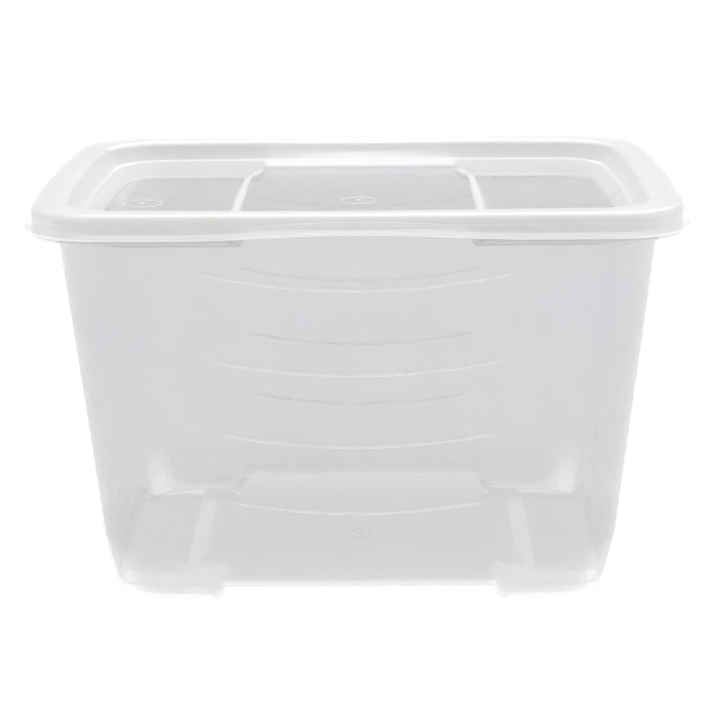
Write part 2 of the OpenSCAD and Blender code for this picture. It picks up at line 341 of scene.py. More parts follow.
# %% [markdown]
# ## The tub's rings
# The rings climb the outside from the underside to the rim, turn over the rim and its skirt, and go
# back down the inside to the floor. Low rings follow the feet up and down. The rim's skirt is cut
# away over the middle of each long side, so a hand can hold the tub there.

# %% Rings of the tub


def push(v, fixed, limit, grow):
    """Moves positions beyond fixed outwards, by grow at the limit."""
    return v + np.sign(v) * grow * np.clip((np.abs(v) - fixed) / (limit - fixed), 0, None)


def low_ring(rise, inset, t):
    """A ring that follows the feet: t is 0 on the outside and the wall's thickness inside."""
    a, b = BASE_A - t, BASE_B - t
    p = tub_outline(a, b, IN_COLS if t else OUT_COLS, IN_ROWS if t else OUT_ROWS)
    z = underside(p[:, 0], p[:, 1], t) + t + rise
    grow = wall_a(z) - BASE_A - inset
    x = push(p[:, 0], LONG_END, a, grow)
    y = push(p[:, 1], FOOT_Y + FOOT_ROUND + 1 + t, b, grow)
    return np.column_stack([x, y, z])


def ring(points, z):
    """A level ring of points at a height."""
    return np.column_stack([points, np.broadcast_to(z, len(points))])


def wall_ring(z, t):
    a = float(wall_a(z)) - t
    return ring(tub_outline(a, a - wall_gap(z), OUT_COLS, OUT_ROWS), z)


def rim_outline(a):
    radius = SKIRT_ROUND - SKIRT_A + a
    return outline(a, a - SIDE_GAP, radius, RIM_BOW_X, RIM_BOW_Y, OUT_COLS, OUT_ROWS)


def rim_ring(a, z):
    return ring(rim_outline(a), z)


def skirt_ring(a, rise, out):
    """A ring at the rim skirt's lower edge, which jumps up over the hand-hold. out is how far its
    lip stands out."""
    p = rim_outline(a)
    x, y = np.abs(p.T)
    long_wall = (x < LONG_END) & (y > DEPTH / 4)
    cut = np.where(long_wall, 1 - ease((x - HAND_HOLD) / 10), 0)
    ledge = np.where(long_wall, ease((x - HAND_HOLD - 10) / 6), 1)
    z = mix(RIM_LOW, RIM_TOP - 7, cut) + rise
    return np.column_stack([p * (1 + out * ledge / RIM_A)[:, None], z])


def tub_rings():
    """The section, from under the feet over the rim to the inside of the floor. In the lists, a
    ring is a rise above the low outline and an inset from it, or an inset and a drop at the rim."""
    up = [low_ring(r, i, 0) for r, i in ((0, 5), (0.5, 2.9), (1.3, 1.5), (3, 0.4), (9, 0))]
    up += [wall_ring(z, 0) for z in (KNEE - 3, KNEE, KNEE + 5, 90, 150, 220, RIM_TOP - WALL - 2)]
    rim = [rim_ring(WALL_TOP_A + 2, RIM_TOP - WALL), rim_ring(RIM_A - WALL - 1, RIM_TOP - WALL)]
    rim += [rim_ring(RIM_A - WALL, RIM_TOP - WALL - 1), skirt_ring(RIM_A - WALL, 0, 0)]
    rim += [skirt_ring(RIM_A - 0.2, 0, 1.2), skirt_ring(RIM_A, 0.6, 1.6)]
    rim += [skirt_ring(RIM_A, 1.6, 1.6), skirt_ring(RIM_A, 2.2, 0)]
    rim += [rim_ring(RIM_A - i, RIM_TOP - drop) for i, drop in ((0, 3.6), (1, 1.4), (3.2, 0))]
    rim += [rim_ring(WALL_TOP_A + 0.5, RIM_TOP), rim_ring(WALL_TOP_A - 1.3, RIM_TOP - 1)]
    down = [wall_ring(z, WALL) for z in (RIM_TOP - 5, 220, 150, 90, KNEE + 5, KNEE, KNEE - 3)]
    cove = ((9.5, 0), (6, 1.6), (3.4, 3.6), (1.5, 6), (0.4, 8.6), (0, 11))
    down += [low_ring(rise, inset, WALL) for rise, inset in cove]
    return soften(up + rim + down, 0.55)


tub_skin = closed_skin(
    "tub_skin",
    tub_rings(),
    len(OUT_COLS) + CORNER_STEPS + 1,
    len(OUT_ROWS) + CORNER_STEPS + 1,
    lambda x, y: underside(x, y, 0),
    lambda x, y: underside(x, y, WALL) + WALL,
)

# %% [markdown]
# ## How milky the tub is where
# The rim is a double wall, so it looks a little whiter. The floor, the feet and the wall below
# 25 mm are whiter still and let more light through, which is painted light from below. The floor
# and the inner faces of the feet are mostly seen through other walls, and they'd add too much
# milk to those. They are made clearer, which is simpler than letting the light scatter through
# five walls.

# %% Finish the tub


def tub_thickness_and_painted_light(x, y, z):
    # The first term is the rim's double wall. The second, below 25 mm, is painted light from below.
    return 0.1 * ease((z - RIM_TOP + 22) / 6) + 0.5 * ease((25 - z) / 9)


def floor_clearness(x, y, z):
    """Clearer on faces that look up from the floor and the feet, away from the outer wall."""
    a = wall_a(z)
    inside = np.maximum(np.abs(x) - a, np.abs(y) - a + wall_gap(z))
    upper = ease(z - underside(x, y, 0) - 0.5)
    return 0.65 * upper * ease((-4 - inside) / 6) * ease((25 - z) / 9)


finish_skin(tub_skin, tub_thickness_and_painted_light, floor_clearness)

# %% [markdown]
# ## The lid
# The lid is the second moulding. A flat border runs round a deep recess. Its two end panels are
# low, to take the feet of the next bin, and its middle panel is higher. The skirt hangs outside the
# tub's rim and ends in a lip. Its lower edge rises a little half way along each long side, where a
# shallow lens-shaped grip is pressed into it.

# %% Rules for the lid
BORDER, END_PANEL, MIDDLE_PANEL = 24.0, 28.5, 20.5  # the border's width and the panels' depths
PANEL_HALF, PANEL_CORNER, SLOPE = 87.0, 9.0, 6.0  # the middle panel, and the slope at its ends
LID_END, GRIP_HALF, GRIP_DEPTH = 145.0, 64.0, 0.9  # the straight side's end, and the grip
ARCH_RISE, ARCH_FROM, ARCH_WIDTH = 3.6, 10.0, 115.0  # of the skirt's lower edge on a long side
LID_COLS = both(
    np.concatenate([
        [7, 14, 21, 28, 35, 42, 49, 55, 60, GRIP_HALF, 69, 73, 76],
        np.linspace(77.5, 94, 14),
        [97, 103, 109, 115, 121, 127, 133, 139, LID_END],
    ])
)
LID_ROWS = both([2, 4, 6, 8, 10, 18, 30, 42, 54, 66, 78, 88, 95])


def on_long(p):
    """True for the points of an outline that are on a long side."""
    return (np.abs(p[:, 0]) < LID_END + 1) & (np.abs(p[:, 1]) > DEPTH / 4 - 20)


def middle_share(x, y):
    """1 on the middle panel, 0 on the end panels. The middle panel's corners are rounded off."""
    half = PANEL_HALF - PANEL_CORNER * ease((np.abs(y) - 98) / 40)
    return ease((half + SLOPE - np.abs(x)) / SLOPE)


def panel_z(x, y):
    return HEIGHT - mix(END_PANEL, MIDDLE_PANEL, middle_share(x, y))


def roll(p):
    """Drop of the roll-over from the border into the recess."""
    return np.where(on_long(p), mix(11, 3, ease(np.abs(p[:, 0]) / (LID_END + 5))), 3)


def arch(p):
    """Rise of the skirt's lower edge, highest half way along a long side."""
    low = ease((np.abs(p[:, 0]) - ARCH_FROM) / ARCH_WIDTH)
    return np.where(on_long(p), ARCH_RISE * (1 - low), 0)


print(f"the panels lie {MIDDLE_PANEL} and {END_PANEL} mm below the border")

# %% [markdown]
# ## The lid's rings
# The lid's rings start under the panels, run out along the underside of the border, down inside the
# skirt, round the lip, up the outside through the grip, over the border and down into the recess.
# A small upright crease half way along each short wall of the recess keeps that wall from flapping.

# %% Rings of the lid


def lid_outline(a, r):
    return outline(a, a - SIDE_GAP, r, RIM_BOW_X, RIM_BOW_Y, LID_COLS, LID_ROWS)


def skirt(off, z, rise):
    """off is outwards from the skirt, z is from the top, and rise is the share of the arch."""
    p = lid_outline(SKIRT_A + off, SKIRT_ROUND + off)
    return np.column_stack([p, HEIGHT + z + rise * arch(p)])


def grip_ring(where, edge):
    """where is -1 at the lens's lower edge, 0 at its middle and 1 at its upper edge."""
    p = lid_outline(SKIRT_A, SKIRT_ROUND)
    lens = np.where(on_long(p), np.clip(1 - (p[:, 0] / GRIP_HALF) ** 2, 0, None), 0)
    deep = GRIP_DEPTH * lens * (1 - where**2)
    y = p[:, 1] - np.sign(p[:, 1]) * deep
    return np.column_stack([p[:, 0], y, HEIGHT - 8 + where * (2.4 * lens + edge)])


def border_ring(off, drop, share, r):
    """off is outwards from the border's inner edge, and share is how much it follows the roll."""
    p = lid_outline(SKIRT_A - BORDER + off, r)
    return np.column_stack([p, HEIGHT - drop - share * roll(p)])


def border_edge(under):
    """Where the flat border ends and the roll starts."""
    p = lid_outline(SKIRT_A - BORDER + 4, 41)
    wider = 1 + (roll(p) - 3) / 2 / (SKIRT_A - BORDER)
    return np.column_stack([p[:, 0], p[:, 1] * wider, np.full(len(p), HEIGHT - under)])


def panel_ring(inset, rise, r, creased=0):
    """A ring at the foot of the recess wall, which steps with the panels."""
    p = lid_outline(SKIRT_A - BORDER - inset, r)
    crease = np.where(np.abs(p[:, 1]) < 10, 3 * np.clip(1 - np.abs(p[:, 1]) / 8, 0, None), 0)
    z = np.where(on_long(p), panel_z(*p.T), HEIGHT - END_PANEL) + rise
    return np.column_stack([p[:, 0] - creased * np.sign(p[:, 0]) * crease, p[:, 1], z])


def lid_rings():
    """The section, from under the panels round the skirt and back over the border to the panels."""
    t = WALL
    rings = [panel_ring(17, -t, 25), panel_ring(13.5, 1.4, 27, 1), border_ring(-7.4, 16.4, 0, 32)]
    rings += [border_ring(-5.4, 15.4, 0, 34), border_ring(0.4, 3.2, 0.6, 38)]
    rings += [border_ring(1.6, 2.2, 0.25, 40), border_edge(t)]
    rings += [skirt(-4.4, -t, 0), skirt(-2.4, -3.4, 0), skirt(-t, -5.5, 0)]
    rings += [skirt(-t + 0.2, -18.2, 1)]
    rings += [skirt(off, z, 1) for off, z in ((0.2, -18.2), (0.6, -17.1), (LIP - 0.6, -16.6))]
    rings += [skirt(LIP, -15.8, 1), skirt(LIP - 0.6, -15, 1), skirt(0.3, -13, 0.8)]
    rings += [grip_ring(w, e) for w, e in ((-1, 0.8), (-0.8, 0.65), (-0.4, 0.3), (0, 0))]
    rings += [grip_ring(w, e) for w, e in ((0.4, 0.3), (0.8, 0.65), (1, 0.8))]
    rings += [skirt(-0.5, -2.6, 0), skirt(-1.9, -0.8, 0), skirt(-4.6, 0, 0), border_edge(0)]
    rings += [border_ring(0.6, 0, 0.25, 40), border_ring(-1.6, 1, 0.7, 38)]
    rings += [border_ring(-7.5, 14.5, 0, 34), border_ring(-9.5, 15.2, 0, 32)]
    rings += [panel_ring(15.5, 2.5, 27, 1), panel_ring(18, 0, 25)]
    return soften(rings, 0.6)


lid_skin = closed_skin(
    "lid_skin",
    lid_rings(),
    len(LID_COLS) + CORNER_STEPS + 1,
    len(LID_ROWS) + CORNER_STEPS + 1,
    lambda x, y: panel_z(x, y) - WALL,
    panel_z,
)

# %% [markdown]
# ## How milky the lid is where
# The border and the skirt are the lid's stiff frame and look whitest. The top 10 mm, where the
# border lies, are whiter than the rest, which is painted light from above. The walls of the recess
# and the slopes between its panels are a little less white, and the panels are thin and nearly
# clear, so that what is in the bin can be read from above.

# %% Finish the lid


def lid_thickness_and_painted_light(x, y, z):
    past_x = np.maximum(np.abs(x) - SKIRT_A + RIM_ROUND, 0)
    past_y = np.maximum(np.abs(y) - SKIRT_A + SIDE_GAP + RIM_ROUND, 0)
    inside = np.hypot(past_x, past_y) - RIM_ROUND
    # Painted light from above: the top 10 mm, where the border lies, are made whitest. The outer
    # band along the skirt is whitened less.
    frame_part = np.maximum(0.85 * ease((z - HEIGHT + 10) / 8), 0.5 * ease((inside + 10) / 6))
    middle = middle_share(x, y)
    wall = ease((z - panel_z(x, y) - 0.4) / 1.6)
    return np.maximum(frame_part, 0.8 * wall + 0.9 * (1 - wall) * middle * (1 - middle))


finish_skin(lid_skin, lid_thickness_and_painted_light)

# %% [markdown]
# ## Sums in a node tree
# Geometry Nodes and shader nodes do sums with Math nodes, one node for each step. Placing them by
# hand makes long code. This small class stands for a number in a tree, so that an ordinary sum
# written in the script adds the Math nodes that it needs.

# %% A number that builds Math nodes


def feed(tree, value, socket):
    """Links a socket or a Sum to an input, or sets the input to a plain value."""
    value = value.socket if isinstance(value, Sum) else value
    if isinstance(value, bpy.types.NodeSocket):
        tree.links.new(value, socket)
    else:
        socket.default_value = value


class Sum:
    def __init__(self, tree, socket):
        self.tree, self.socket = tree, socket

    def step(self, operation, *values, clamp=False):
        node = self.tree.nodes.new("ShaderNodeMath")
        node.operation, node.use_clamp = operation, clamp
        for value, slot in zip(values, node.inputs):
            feed(self.tree, value, slot)
        return Sum(self.tree, node.outputs[0])

    def __add__(self, other):
        return self.step("ADD", self, other)

    def __sub__(self, other):
        return self.step("SUBTRACT", self, other)

    def __rsub__(self, other):
        return self.step("SUBTRACT", other, self)

    def __mul__(self, other):
        return self.step("MULTIPLY", self, other)

    def __truediv__(self, other):
        return self.step("DIVIDE", self, other)

    def __pow__(self, other):
        return self.step("POWER", self, other)

    def clamped(self):
        return self.step("ADD", self, 0.0, clamp=True)


def add_node(tree, kind, settings=None, **inputs):
    """A new node. Settings are its own options, and inputs are sockets by name."""
    node = tree.nodes.new(kind)
    for key, value in (settings or {}).items():
        setattr(node, key, value)
    for key, value in inputs.items():
        feed(tree, value, node.inputs[key.replace("_", " ")])
    return node


print("a Sum can add, subtract, multiply, divide and raise to a power")

# %% [markdown]
# ## The plastic
# Natural polypropylene is clear but milky: part of the light goes straight through, part scatters
# inside the wall, and a little is mirrored at the surface. Glass with a volume inside would be the
# full physics, but it is slow and noisy in a thin double wall. So each skin is a mix of three plain
# shaders: Transparent for what goes through, Diffuse with Translucent for the milk, and Glossy for
# the mirrored part. There is more milk where the wall is seen edge-on and where the skin turns.
# Noise at several scales adds cloudy haze, the faint streaks that flowing plastic leaves, and the
# slight ripple and scuffing of a moulded surface.

# %% Build the milky plastic
# Noise features in each metre: clouds of milk, streaks of flow, grain, surface ripple and scuffs.
CLOUDS, STREAKS, GRAIN, RIPPLES, SCUFFS = 6.0, 5.0, 420.0, 26.0, 90.0
PALE_AND_HIGHLIGHT, THICK_PAINTED_GLOW = (0.97, 0.97, 0.96, 1), (0.965, 0.965, 0.965, 1)
COOL, WARM = (0.97, 0.99, 1.02), (1.02, 1.01, 0.97)


def milky_plastic(name, milk_colour, through_colour, milk, streaks_along, ripple):
    """milk is the least share of milk. streaks_along scales the streak noise on each axis: a small
    number stretches it that way."""
    material = bpy.data.materials.new(name)
    material.use_nodes = True
    tree = material.node_tree
    tree.nodes.clear()
    place = tree.nodes.new("ShaderNodeTexCoord").outputs["Object"]

    def noise(scale, detail, vector=place, rough=0.5):
        node = add_node(tree, "ShaderNodeTexNoise", Vector=vector, Scale=scale, Detail=detail,
                        Roughness=rough)
        return Sum(tree, node.outputs["Fac"])

    def attribute(key):
        node = add_node(tree, "ShaderNodeAttribute", {"attribute_name": key})
        return Sum(tree, node.outputs["Fac"])

    def blend(factor, start, end):
        node = add_node(tree, "ShaderNodeMix", {"data_type": "RGBA"}, Factor=factor)
        feed(tree, start, node.inputs[6])  # the colour inputs A and B are numbers 6 and 7
        feed(tree, end, node.inputs[7])
        return node.outputs[2]

    def mix_shaders(factor, first, second):
        node = add_node(tree, "ShaderNodeMixShader", Fac=factor)
        tree.links.new(first.outputs[0], node.inputs[1])
        tree.links.new(second.outputs[0], node.inputs[2])
        return node

    stretched = add_node(tree, "ShaderNodeMapping", Vector=place, Scale=streaks_along).outputs[0]
    haze, streak, grain = noise(CLOUDS, 3.0), noise(STREAKS, 4.0, stretched), noise(GRAIN, 2.0)
    edge_on = Sum(tree, add_node(tree, "ShaderNodeLayerWeight", Blend=0.5).outputs["Facing"])
    turn, thick_and_painted_light = attribute("turn"), attribute("thick_and_painted_light")

    # How much of what is seen is milk.
    share = haze * 0.07 + streak * 0.04 + grain * 0.01 + edge_on**3.0 * 0.13 + turn * 0.13
    share = (share + thick_and_painted_light * 0.42 + milk).clamped()

    # The colour of the milk drifts a little between cool and warm, and is paler where the wall is
    # seen edge-on, where the skin turns and where the plastic is marked thick. At the edges the
    # paleness is mostly a painted highlight, and in the thick parts it is partly painted light.
    drift = add_node(tree, "ShaderNodeValToRGB", Fac=haze)
    cool, warm = drift.color_ramp.elements
    cool.position, warm.position = 0.35, 0.65
    cool.color = (*[c * k for c, k in zip(milk_colour, COOL)], 1)
    warm.color = (*[c * k for c, k in zip(milk_colour, WARM)], 1)
    # Painted highlight: where the skin turns the milk is made pale, for the gloss that an edge
    # catches.
    paleness_and_painted_highlight = (turn * 0.6 + thick_and_painted_light * 0.5 + edge_on**3.0 * 0.4).clamped()
    tinted = blend(paleness_and_painted_highlight, drift.outputs["Color"], PALE_AND_HIGHLIGHT)
    # Painted glow: where the plastic is marked thick it glows with its own milk, so less of the
    # light is lost on the way through and those parts look brighter.
    through = blend(thick_and_painted_light, (*through_colour, 1), THICK_PAINTED_GLOW)

    bumps = add_node(tree, "ShaderNodeBump", Strength=ripple, Distance=0.0004,
                     Height=noise(RIPPLES, 1.0) + streak * 0.5)
    normal = bumps.outputs["Normal"]
    front_lit = add_node(tree, "ShaderNodeBsdfDiffuse", Color=tinted, Normal=normal)
    back_lit = add_node(tree, "ShaderNodeBsdfTranslucent", Color=tinted, Normal=normal)
    window = add_node(tree, "ShaderNodeBsdfTransparent", Color=through)
    body = mix_shaders(share, window, mix_shaders(0.42, front_lit, back_lit))

    # Only the face that looks towards the eye mirrors: inside the wall it would mirror too much.
    mirror = Sum(tree, add_node(tree, "ShaderNodeFresnel", IOR=1.49, Normal=normal).outputs[0])
    behind = Sum(tree, tree.nodes.new("ShaderNodeNewGeometry").outputs["Backfacing"])
    gloss = add_node(tree, "ShaderNodeBsdfAnisotropic", Color=(1, 1, 1, 1),
                     Roughness=noise(SCUFFS, 4.0, rough=0.7) * 0.22 + 0.10, Normal=normal)
    surface = mix_shaders(mirror * (1.0 - behind), body, gloss)
    nothing = tree.nodes.new("ShaderNodeBsdfTransparent")
    seen = mix_shaders(attribute("clear"), surface, nothing)
    out = tree.nodes.new("ShaderNodeOutputMaterial")
    tree.links.new(seen.outputs[0], out.inputs["Surface"])
    return material


print("the plastic has clouds, streaks, grain, ripple and scuffs at their own scales")

# %% [markdown]
# ## Four mixes of the plastic
# The tub and the lid are moulded apart and differ a little: the tub's streaks run up the wall, the
# way the plastic flowed, and the lid's run along its length. The ribs and the moulding marks get
# whiter mixes, a painted highlight for the light that their beads and rings catch. Four calls of
# one function are enough.

# %% Make the mixes and coat the skins
tub_plastic = milky_plastic(
    "tub_milky_plastic", (0.765, 0.765, 0.765), (0.845, 0.846, 0.849), 0.12, (9.0, 9.0, 0.6), 0.15
)
# Painted highlight: the marks' milk is nearly white, for the light that the rings catch.
mark_painted_highlight_plastic = milky_plastic(
    "mark_milky_plastic_painted_highlight", (0.97, 0.97, 0.96), (0.985, 0.985, 0.985), 0.44, (5.0, 5.0, 5.0), 0.1
)
# Painted highlight: the ribs' milk is nearly white, for the light that the beads catch.
rib_painted_highlight_plastic = milky_plastic(
    "rib_milky_plastic_painted_highlight", (0.99, 0.99, 0.98), (0.99, 0.99, 0.99), 0.20, (9.0, 9.0, 0.6), 0.1
)
lid_plastic = milky_plastic(
    "lid_milky_plastic", (0.89, 0.895, 0.90), (0.715, 0.725, 0.735), 0.01, (0.8, 7.0, 7.0), 0.08
)
for skin, material in ((tub_skin, tub_plastic), (lid_skin, lid_plastic)):
    skin.data.materials.append(material)
    print(skin.name, "has", len(material.node_tree.nodes), "nodes of plastic")

# %% [markdown]
# ## Starting and ending a geometry tree
# Geometry Nodes build the details that repeat. Every such tree starts with its sizes as inputs and
# ends by turning its copies into real points and giving them a material. The result is then kept as
# a plain mesh. Three small functions do those parts, so that each tree below holds only its rule.

# %% Helpers for geometry trees


def group_with(name, sizes):
    """A geometry tree with a named number input for each size, and those inputs as Sums."""
    tree = bpy.data.node_groups.new(name, "GeometryNodeTree")
    tree.interface.new_socket("Geometry", in_out="OUTPUT", socket_type="NodeSocketGeometry")
    for key, value in sizes.items():
        kind = "NodeSocketInt" if isinstance(value, int) else "NodeSocketFloat"
        tree.interface.new_socket(key, in_out="INPUT", socket_type=kind)
    entry = tree.nodes.new("NodeGroupInput")
    return tree, {key: Sum(tree, entry.outputs[key]) for key in sizes}


def end_tree(tree, geometry, material):
    """Ends a tree in Realize Instances and Set Material."""
    real = add_node(tree, "GeometryNodeRealizeInstances", Geometry=geometry)
    coat = add_node(tree, "GeometryNodeSetMaterial", Geometry=real.outputs[0], Material=material)
    tree.links.new(coat.outputs[0], tree.nodes.new("NodeGroupOutput").inputs[0])


def run_tree(name, tree, sizes):
    """Gives an empty mesh the tree with its sizes, and returns the result as a plain mesh."""
    obj = bpy.data.objects.new(name, bpy.data.meshes.new(name))
    modifier = obj.modifiers.new(name, "NODES")
    modifier.node_group = tree
    for item in tree.interface.items_tree:
        if item.in_out == "INPUT" and item.name in sizes:
            modifier[item.identifier] = sizes[item.name]
    bpy.context.scene.collection.objects.link(obj)
    evaluated = obj.evaluated_get(bpy.context.evaluated_depsgraph_get())
    mesh = bpy.data.meshes.new_from_object(evaluated)
    obj.modifiers.clear()
    obj.data = mesh
    mesh.name = name
    print(f"{name}: {len(mesh.polygons)} faces from Geometry Nodes")
    return obj


print("a tree's sizes are its inputs, and its result is kept as a plain mesh")

# %% [markdown]
# ## The curved ribs
# Four shallow ribs cross each long wall in the shape of a smile. They stiffen the wall and are part
# of the moulding. They repeat and follow a surface, so Geometry Nodes make them: a straight line is
# copied once for each rib, bent onto the leaning, bowed wall by a rule, and given a round section
# that tapers out at both ends. Most of the section is sunk in the wall.

# %% A tree for the ribs


def rib_tree(sizes, material):
    """Bends a straight line onto the wall for each rib, and gives it a round section."""
    tree, size = group_with("curved_ribs", sizes)
    row = add_node(tree, "GeometryNodeMeshLine", Count=size["Ribs"] * 2.0)
    line = add_node(tree, "GeometryNodeCurvePrimitiveLine", Start=(-1, 0, 0), End=(1, 0, 0))
    line = add_node(tree, "GeometryNodeResampleCurve", Curve=line.outputs[0], Count=65)
    copies = add_node(tree, "GeometryNodeInstanceOnPoints", Points=row.outputs["Mesh"],
                      Instance=line.outputs[0])
    number = tree.nodes.new("GeometryNodeInputIndex").outputs[0]
    stored = add_node(tree, "GeometryNodeStoreNamedAttribute",
                      {"data_type": "FLOAT", "domain": "INSTANCE"},
                      Geometry=copies.outputs[0], Name="number", Value=number)
    real = add_node(tree, "GeometryNodeRealizeInstances", Geometry=stored.outputs[0])
    read = add_node(tree, "GeometryNodeInputNamedAttribute", {"data_type": "FLOAT"}, Name="number")
    number = Sum(tree, read.outputs[0])
    step = number.step("MODULO", number, size["Ribs"])
    back = number.step("GREATER_THAN", number, size["Ribs"] - 0.5)

    along = Sum(tree, add_node(tree, "GeometryNodeSplineParameter").outputs["Factor"]) * 2.0 - 1.0
    half = size["Half length"] - step * size["Shorter by"]
    x = along * half
    z = size["Top rib"] - (size["Top rib"] - size["Bottom rib"]) * (
        (step / (size["Ribs"] - 1.0)) ** size["Crowding"])
    z = z + x * x / (size["Arc radius"] * 2.0)
    wall = size["Wall at the knee"] + (z - size["Knee"]) * size["Lean"]
    wall = wall - x * x * size["Bow"] - size["Sink"]
    y = wall * (back * 2.0 - 1.0)
    place = add_node(tree, "ShaderNodeCombineXYZ", X=x, Y=y, Z=z)
    bent = add_node(tree, "GeometryNodeSetPosition", Geometry=real.outputs[0],
                    Position=place.outputs[0])
    to_end = (half - x.step("ABSOLUTE", x)) / size["Taper"]
    taper = to_end.step("POWER", to_end.clamped(), 0.5)
    bent = add_node(tree, "GeometryNodeSetCurveRadius", Curve=bent.outputs[0],
                    Radius=taper * 0.97 + 0.03)
    section = add_node(tree, "GeometryNodeCurvePrimitiveCircle", Resolution=14,
                       Radius=size["Section radius"])
    swept = add_node(tree, "GeometryNodeCurveToMesh", Curve=bent.outputs[0],
                     Profile_Curve=section.outputs[0])
    swept.inputs["Fill Caps"].default_value = True
    if "Scale" in swept.inputs:
        radius = tree.nodes.new("GeometryNodeInputRadius")
        tree.links.new(radius.outputs[0], swept.inputs["Scale"])
    smooth = add_node(tree, "GeometryNodeSetShadeSmooth", Geometry=swept.outputs[0])
    end_tree(tree, smooth.outputs[0], material)
    return tree


print("the ribs' rule is ready")

# %% [markdown]
# ## The ribs' sizes
# The sizes say how many ribs there are, how high the top and bottom ones sit, how curved they are
# and how they follow the leaning wall. Most of each section is sunk in the wall, so that only a low
# bead stands out. The sunk part is inside plastic, where there is no surface to see, and it is
# marked as clear. Cutting it off would leave the bead open.

# %% Make the ribs
knee_b = KNEE_A - wall_gap(KNEE)
top_b = WALL_TOP_A - wall_gap(RIM_TOP)
rib_sizes = {
    "Ribs": 4,
    "Top rib": 242.5 * MM,
    "Bottom rib": 73 * MM,
    "Crowding": 0.9,
    "Half length": 113 * MM,
    "Shorter by": 6.8 * MM,
    "Arc radius": 480 * MM,
    "Wall at the knee": knee_b * MM,
    "Knee": KNEE * MM,
    "Lean": (top_b - knee_b) / (RIM_TOP - KNEE),
    "Bow": TUB_BOW_Y / (205.0**2) / MM,
    "Sink": 0.55 * MM,
    "Section radius": 1.4 * MM,
    "Taper": 9 * MM,
}
tub_ribs = run_tree("tub_ribs", rib_tree(rib_sizes, rib_painted_highlight_plastic), rib_sizes)

x, y, z = points_of(tub_ribs).T / MM
wall_y = knee_b + (z - KNEE) * rib_sizes["Lean"] - rib_sizes["Bow"] * MM * x**2
sunk = ease((wall_y - np.abs(y) + 0.2) / 0.3)
write_attribute(tub_ribs, "clear", sunk)
print(f"{100 * sunk.mean():.0f} % of the ribs' points are inside the wall")

# %% [markdown]
# ## Moulding marks
# Where the plastic was injected, and where pins pushed the moulding out, there are small rings and
# dots. Each mark is a ring and a dot that a tree makes round the origin and puts on a point as an
# instance. A modelled copy would have to be made again for every new place and size.

# %% A tree for rings and dots


def mark_tree(sizes, material):
    """A round bead in a ring with a dot in its middle, both pressed flat."""
    tree, size = group_with("moulding_marks", sizes)
    centre = add_node(tree, "ShaderNodeCombineXYZ", X=size["X"], Y=size["Y"], Z=size["Z"])
    point = add_node(tree, "GeometryNodePoints", Count=1, Position=centre.outputs[0])
    circle = add_node(tree, "GeometryNodeCurvePrimitiveCircle", Resolution=48,
                      Radius=size["Ring radius"])
    bead = add_node(tree, "GeometryNodeCurvePrimitiveCircle", Resolution=8,
                    Radius=size["Bead radius"])
    rim = add_node(tree, "GeometryNodeCurveToMesh", Curve=circle.outputs[0],
                   Profile_Curve=bead.outputs[0])
    dot = add_node(tree, "GeometryNodeMeshUVSphere", Segments=16, Rings=8,
                   Radius=size["Dot radius"])
    joined = tree.nodes.new("GeometryNodeJoinGeometry")
    tree.links.new(rim.outputs[0], joined.inputs[0])
    tree.links.new(dot.outputs["Mesh"], joined.inputs[0])
    flat = add_node(tree, "GeometryNodeTransform", Geometry=joined.outputs[0], Scale=(1, 1, 0.5))
    copies = add_node(tree, "GeometryNodeInstanceOnPoints", Points=point.outputs[0],
                      Instance=flat.outputs[0])
    smooth = add_node(tree, "GeometryNodeSetShadeSmooth", Geometry=copies.outputs[0])
    end_tree(tree, smooth.outputs[0], material)
    return tree


def mark(name, x, y, z, ring_radius):
    sizes = {"X": x * MM, "Y": y * MM, "Z": z * MM, "Ring radius": ring_radius * MM,
             "Bead radius": 0.5 * MM, "Dot radius": 1.6 * MM}
    piece = run_tree(name, mark_tree(sizes, mark_painted_highlight_plastic), sizes)
    finish_skin(piece)
    return piece


lid_marks = [
    mark("lid_gate_mark", 0, -12, HEIGHT - MIDDLE_PANEL, 13.5),
    mark("lid_end_mark", -170, 24, HEIGHT - END_PANEL, 15),
]
tub_marks = [mark("tub_gate_mark", 0, -20, FOOT_HEIGHT + WALL, 9.5)]

# %% [markdown]
# ## Each piece rides with its body
# The lid lifts off, so every piece is hung on an empty for the body that it moves with, and the
# engineering parts are hidden.

# %% Tell the frame about the pieces
for piece in (tub_skin, tub_ribs, *tub_marks):
    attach(piece, "tub")
for piece in (lid_skin, *lid_marks):
    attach(piece, "lid")
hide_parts("tub")
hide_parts("lid")
print(f"{2 + len(tub_marks)} pieces ride with the tub and {1 + len(lid_marks)} with the lid")

# %% [markdown]
# ## The floor
# Milky plastic takes its look from what stands round it. In a studio it would stand on a white
# sheet that is lit from all sides. A pale floor that glows a little does the same without a dozen
# lamps, and it is so large that its edge is near the horizon.

# %% Floor
FLOOR_HALF, FLOOR_GLOW = 95.0, 0.78


def floor_material():
    material = bpy.data.materials.new("studio_floor")
    material.use_nodes = True
    tree = material.node_tree
    shader = tree.nodes["Principled BSDF"]
    place = tree.nodes.new("ShaderNodeTexCoord").outputs["Object"]
    cloud = add_node(tree, "ShaderNodeTexNoise", Vector=place, Scale=3.0, Detail=2.0)
    ramp = add_node(tree, "ShaderNodeValToRGB", Fac=cloud.outputs["Fac"])
    ramp.color_ramp.elements[0].color = (0.50, 0.50, 0.51, 1)
    ramp.color_ramp.elements[1].color = (0.53, 0.53, 0.53, 1)
    tree.links.new(ramp.outputs["Color"], shader.inputs["Base Color"])
    shader.inputs["Emission Color"].default_value = (1, 1, 1, 1)
    shader.inputs["Emission Strength"].default_value = FLOOR_GLOW
    material.cycles.emission_sampling = "NONE"  # the glow is found by chance, which is enough
    shader.inputs["Roughness"].default_value = 0.9
    shader.inputs["Specular IOR Level"].default_value = 0.1
    return material


